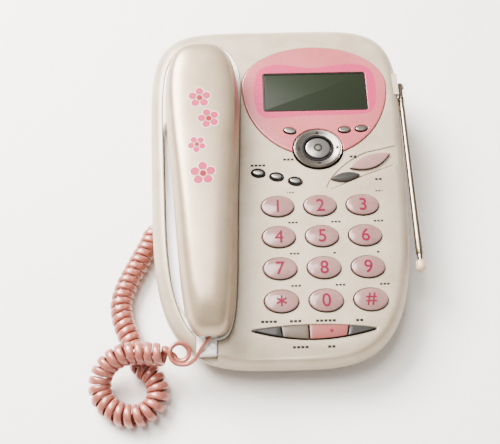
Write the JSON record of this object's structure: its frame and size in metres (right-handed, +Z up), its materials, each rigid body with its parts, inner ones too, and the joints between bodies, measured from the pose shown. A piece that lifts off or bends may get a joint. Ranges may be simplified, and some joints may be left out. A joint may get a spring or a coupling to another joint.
{
  "type": "desk telephone base with corded handset",
  "caption": "Desk telephone base unit with a corded handset in a left cradle, dial pad, display panel, direction ring and a folding telescopic antenna.",
  "frame": {"origin": "middle of the phone's footprint on the surface it stands on, without the curly cord", "axes": "+X to the right of the keypad, +Y to the rear, +Z up"},
  "size_m": [0.2006, 0.2606, 0.0807],
  "materials": {
    "case_pearl": "pearl champagne lacquer, semi-gloss",
    "case_base": "champagne, satin",
    "tray_white": "white, high gloss",
    "panel_pink": "pink print under clear gloss",
    "window_clear": "clear, polished",
    "lcd_glass": "grey green display",
    "board_green": "green solder mask",
    "silicone": "grey silicone",
    "silver_plastic": "silver paint, satin",
    "inner_plastic": "moulded",
    "select_pearl": "pearl",
    "switch_white": "moulded",
    "key_pearl": "translucent pink pearl",
    "key_pink": "translucent pink",
    "key_grey": "translucent grey",
    "key_beige": "translucent beige",
    "key_salmon": "translucent salmon",
    "antenna_steel": "plated tube",
    "cap_cream": "cream, gloss",
    "speaker_dark": "dark",
    "socket_plastic": "moulded",
    "socket_black": "moulded black",
    "feet_rubber": "grey rubber",
    "screw_steel": "plated",
    "handset_pearl": "pearl champagne lacquer, gloss",
    "handset_under": "pearl champagne lacquer, satin",
    "weight_iron": "raw",
    "plug_clear": "clear polycarbonate",
    "cord_pink": "pearly rose cord jacket"
  },
  "bodies": {
    "base": {"lower_case": "case_base", "upper_case": "case_pearl", "cradle_tray": "tray_white", "display_panel": "panel_pink", "display_window": "window_clear", "lcd_module": "lcd_glass", "main_board": "board_green", "key_mat": "silicone", "antenna_bracket": "inner_plastic", "base_speaker": "speaker_dark", "base_microphone": "speaker_dark", "handset_jack": "socket_plastic", "line_jack": "socket_black", "dc_jack": "socket_black", "rubber_feet": "feet_rubber", "case_screws": "screw_steel", "plug_base": "plug_clear", "lead_base": "cord_pink", "cord_coil": "cord_pink"},
    "handset": {"handset_top_shell": "handset_pearl", "handset_cup_shell": "handset_under", "earpiece_speaker": "speaker_dark", "handset_microphone": "speaker_dark", "handset_weight": "weight_iron", "handset_socket": "socket_plastic", "handset_screws": "screw_steel", "plug_handset": "plug_clear", "lead_handset": "cord_pink"},
    "hook_switch": {"hook_switch": "switch_white"},
    "nav_gimbal": {"nav_gimbal": "inner_plastic"},
    "nav_ring": {"nav_ring": "silver_plastic"},
    "select_key": {"select_key": "select_pearl"},
    "key_1": {"key_1": "key_pearl"},
    "key_2": {"key_2": "key_pearl"},
    "key_3": {"key_3": "key_pearl"},
    "key_4": {"key_4": "key_pearl"},
    "key_5": {"key_5": "key_pearl"},
    "key_6": {"key_6": "key_pearl"},
    "key_7": {"key_7": "key_pearl"},
    "key_8": {"key_8": "key_pearl"},
    "key_9": {"key_9": "key_pearl"},
    "key_star": {"key_star": "key_pearl"},
    "key_0": {"key_0": "key_pearl"},
    "key_hash": {"key_hash": "key_pearl"},
    "menu_key": {"menu_key": "silver_plastic"},
    "memory_key": {"memory_key": "silver_plastic"},
    "clear_key": {"clear_key": "silver_plastic"},
    "one_touch_1": {"one_touch_1": "silver_plastic"},
    "one_touch_2": {"one_touch_2": "silver_plastic"},
    "one_touch_3": {"one_touch_3": "silver_plastic"},
    "play_key": {"play_key": "key_pink"},
    "stop_key": {"stop_key": "key_grey"},
    "redial_key": {"redial_key": "key_grey"},
    "catch_key": {"catch_key": "key_beige"},
    "speakerphone_key": {"speakerphone_key": "key_salmon"},
    "hold_key": {"hold_key": "key_grey"},
    "antenna_tube": {"antenna_tube": "antenna_steel"},
    "antenna_middle": {"antenna_middle": "antenna_steel"},
    "antenna_rod": {"antenna_rod": "antenna_steel", "antenna_cap": "cap_cream"}
  },
  "joints": [
    {"name": "handset_lift", "type": "slide", "parent": "base", "child": "handset", "axis": [0, -0.1392, 0.9903], "range_m": [0, 0.08]},
    {"name": "hook_switch_rise", "type": "slide", "parent": "base", "child": "hook_switch", "axis": [0, -0.1392, 0.9903], "range_m": [0, 0.004]},
    {"name": "key_1_press", "type": "slide", "parent": "base", "child": "key_1", "axis": [0, 0.1392, -0.9903], "range_m": [0, 0.001], "stiffness_N_per_m": 500, "springref_m": -0.0006},
    {"name": "key_2_press", "type": "slide", "parent": "base", "child": "key_2", "axis": [0, 0.1392, -0.9903], "range_m": [0, 0.001], "stiffness_N_per_m": 500, "springref_m": -0.0006},
    {"name": "key_3_press", "type": "slide", "parent": "base", "child": "key_3", "axis": [0, 0.1392, -0.9903], "range_m": [0, 0.001], "stiffness_N_per_m": 500, "springref_m": -0.0006},
    {"name": "key_4_press", "type": "slide", "parent": "base", "child": "key_4", "axis": [0, 0.1392, -0.9903], "range_m": [0, 0.001], "stiffness_N_per_m": 500, "springref_m": -0.0006},
    {"name": "key_5_press", "type": "slide", "parent": "base", "child": "key_5", "axis": [0, 0.1392, -0.9903], "range_m": [0, 0.001], "stiffness_N_per_m": 500, "springref_m": -0.0006},
    {"name": "key_6_press", "type": "slide", "parent": "base", "child": "key_6", "axis": [0, 0.1392, -0.9903], "range_m": [0, 0.001], "stiffness_N_per_m": 500, "springref_m": -0.0006},
    {"name": "key_7_press", "type": "slide", "parent": "base", "child": "key_7", "axis": [0, 0.1392, -0.9903], "range_m": [0, 0.001], "stiffness_N_per_m": 500, "springref_m": -0.0006},
    {"name": "key_8_press", "type": "slide", "parent": "base", "child": "key_8", "axis": [0, 0.1392, -0.9903], "range_m": [0, 0.001], "stiffness_N_per_m": 500, "springref_m": -0.0006},
    {"name": "key_9_press", "type": "slide", "parent": "base", "child": "key_9", "axis": [0, 0.1392, -0.9903], "range_m": [0, 0.001], "stiffness_N_per_m": 500, "springref_m": -0.0006},
    {"name": "key_star_press", "type": "slide", "parent": "base", "child": "key_star", "axis": [0, 0.1392, -0.9903], "range_m": [0, 0.001], "stiffness_N_per_m": 500, "springref_m": -0.0006},
    {"name": "key_0_press", "type": "slide", "parent": "base", "child": "key_0", "axis": [0, 0.1392, -0.9903], "range_m": [0, 0.001], "stiffness_N_per_m": 500, "springref_m": -0.0006},
    {"name": "key_hash_press", "type": "slide", "parent": "base", "child": "key_hash", "axis": [0, 0.1392, -0.9903], "range_m": [0, 0.001], "stiffness_N_per_m": 500, "springref_m": -0.0006},
    {"name": "menu_key_press", "type": "slide", "parent": "base", "child": "menu_key", "axis": [0, 0.1392, -0.9903], "range_m": [0, 0.0008], "stiffness_N_per_m": 500, "springref_m": -0.0006},
    {"name": "memory_key_press", "type": "slide", "parent": "base", "child": "memory_key", "axis": [0, 0.1392, -0.9903], "range_m": [0, 0.0008], "stiffness_N_per_m": 500, "springref_m": -0.0006},
    {"name": "clear_key_press", "type": "slide", "parent": "base", "child": "clear_key", "axis": [0, 0.1392, -0.9903], "range_m": [0, 0.0008], "stiffness_N_per_m": 500, "springref_m": -0.0006},
    {"name": "one_touch_1_press", "type": "slide", "parent": "base", "child": "one_touch_1", "axis": [0, 0.1392, -0.9903], "range_m": [0, 0.0008], "stiffness_N_per_m": 500, "springref_m": -0.0006},
    {"name": "one_touch_2_press", "type": "slide", "parent": "base", "child": "one_touch_2", "axis": [0, 0.1392, -0.9903], "range_m": [0, 0.0008], "stiffness_N_per_m": 500, "springref_m": -0.0006},
    {"name": "one_touch_3_press", "type": "slide", "parent": "base", "child": "one_touch_3", "axis": [0, 0.1392, -0.9903], "range_m": [0, 0.0008], "stiffness_N_per_m": 500, "springref_m": -0.0006},
    {"name": "play_key_press", "type": "slide", "parent": "base", "child": "play_key", "axis": [0, 0.1392, -0.9903], "range_m": [0, 0.001], "stiffness_N_per_m": 500, "springref_m": -0.0006},
    {"name": "stop_key_press", "type": "slide", "parent": "base", "child": "stop_key", "axis": [0, 0.1392, -0.9903], "range_m": [0, 0.001], "stiffness_N_per_m": 500, "springref_m": -0.0006},
    {"name": "redial_key_press", "type": "slide", "parent": "base", "child": "redial_key", "axis": [0, 0.1392, -0.9903], "range_m": [0, 0.001], "stiffness_N_per_m": 500, "springref_m": -0.0006},
    {"name": "catch_key_press", "type": "slide", "parent": "base", "child": "catch_key", "axis": [0, 0.1392, -0.9903], "range_m": [0, 0.001], "stiffness_N_per_m": 500, "springref_m": -0.0006},
    {"name": "speakerphone_key_press", "type": "slide", "parent": "base", "child": "speakerphone_key", "axis": [0, 0.1392, -0.9903], "range_m": [0, 0.001], "stiffness_N_per_m": 500, "springref_m": -0.0006},
    {"name": "hold_key_press", "type": "slide", "parent": "base", "child": "hold_key", "axis": [0, 0.1392, -0.9903], "range_m": [0, 0.001], "stiffness_N_per_m": 500, "springref_m": -0.0006},
    {"name": "nav_up_down", "type": "hinge", "parent": "base", "child": "nav_gimbal", "pos_m": [0.0237, 0.01926, 0.0393], "axis": [1, 0, 0], "range_deg": [-2.5, 2.5], "stiffness_Nm_per_rad": 0.6},
    {"name": "nav_left_right", "type": "hinge", "parent": "nav_gimbal", "child": "nav_ring", "pos_m": [0.0237, 0.01926, 0.0393], "axis": [0, 0.9903, 0.1392], "range_deg": [-2.5, 2.5], "stiffness_Nm_per_rad": 0.6},
    {"name": "select_key_press", "type": "slide", "parent": "base", "child": "select_key", "axis": [0, 0.1392, -0.9903], "range_m": [0, 0.001], "stiffness_N_per_m": 500, "springref_m": -0.0006},
    {"name": "antenna_fold", "type": "hinge", "parent": "base", "child": "antenna_tube", "pos_m": [0.0817, 0.06736, 0.04626], "axis": [-1, 0, 0], "range_deg": [0, 100]},
    {"name": "antenna_extend_middle", "type": "slide", "parent": "antenna_tube", "child": "antenna_middle", "axis": [0, -0.9903, -0.1392], "range_m": [0, 0.09]},
    {"name": "antenna_extend_rod", "type": "slide", "parent": "antenna_middle", "child": "antenna_rod", "axis": [0, -0.9903, -0.1392], "range_m": [0, 0.09]}
  ],
  "couplings": [
    {"joint": "hook_switch_rise", "follows": "handset_lift", "ratio": 0.05}
  ]
}
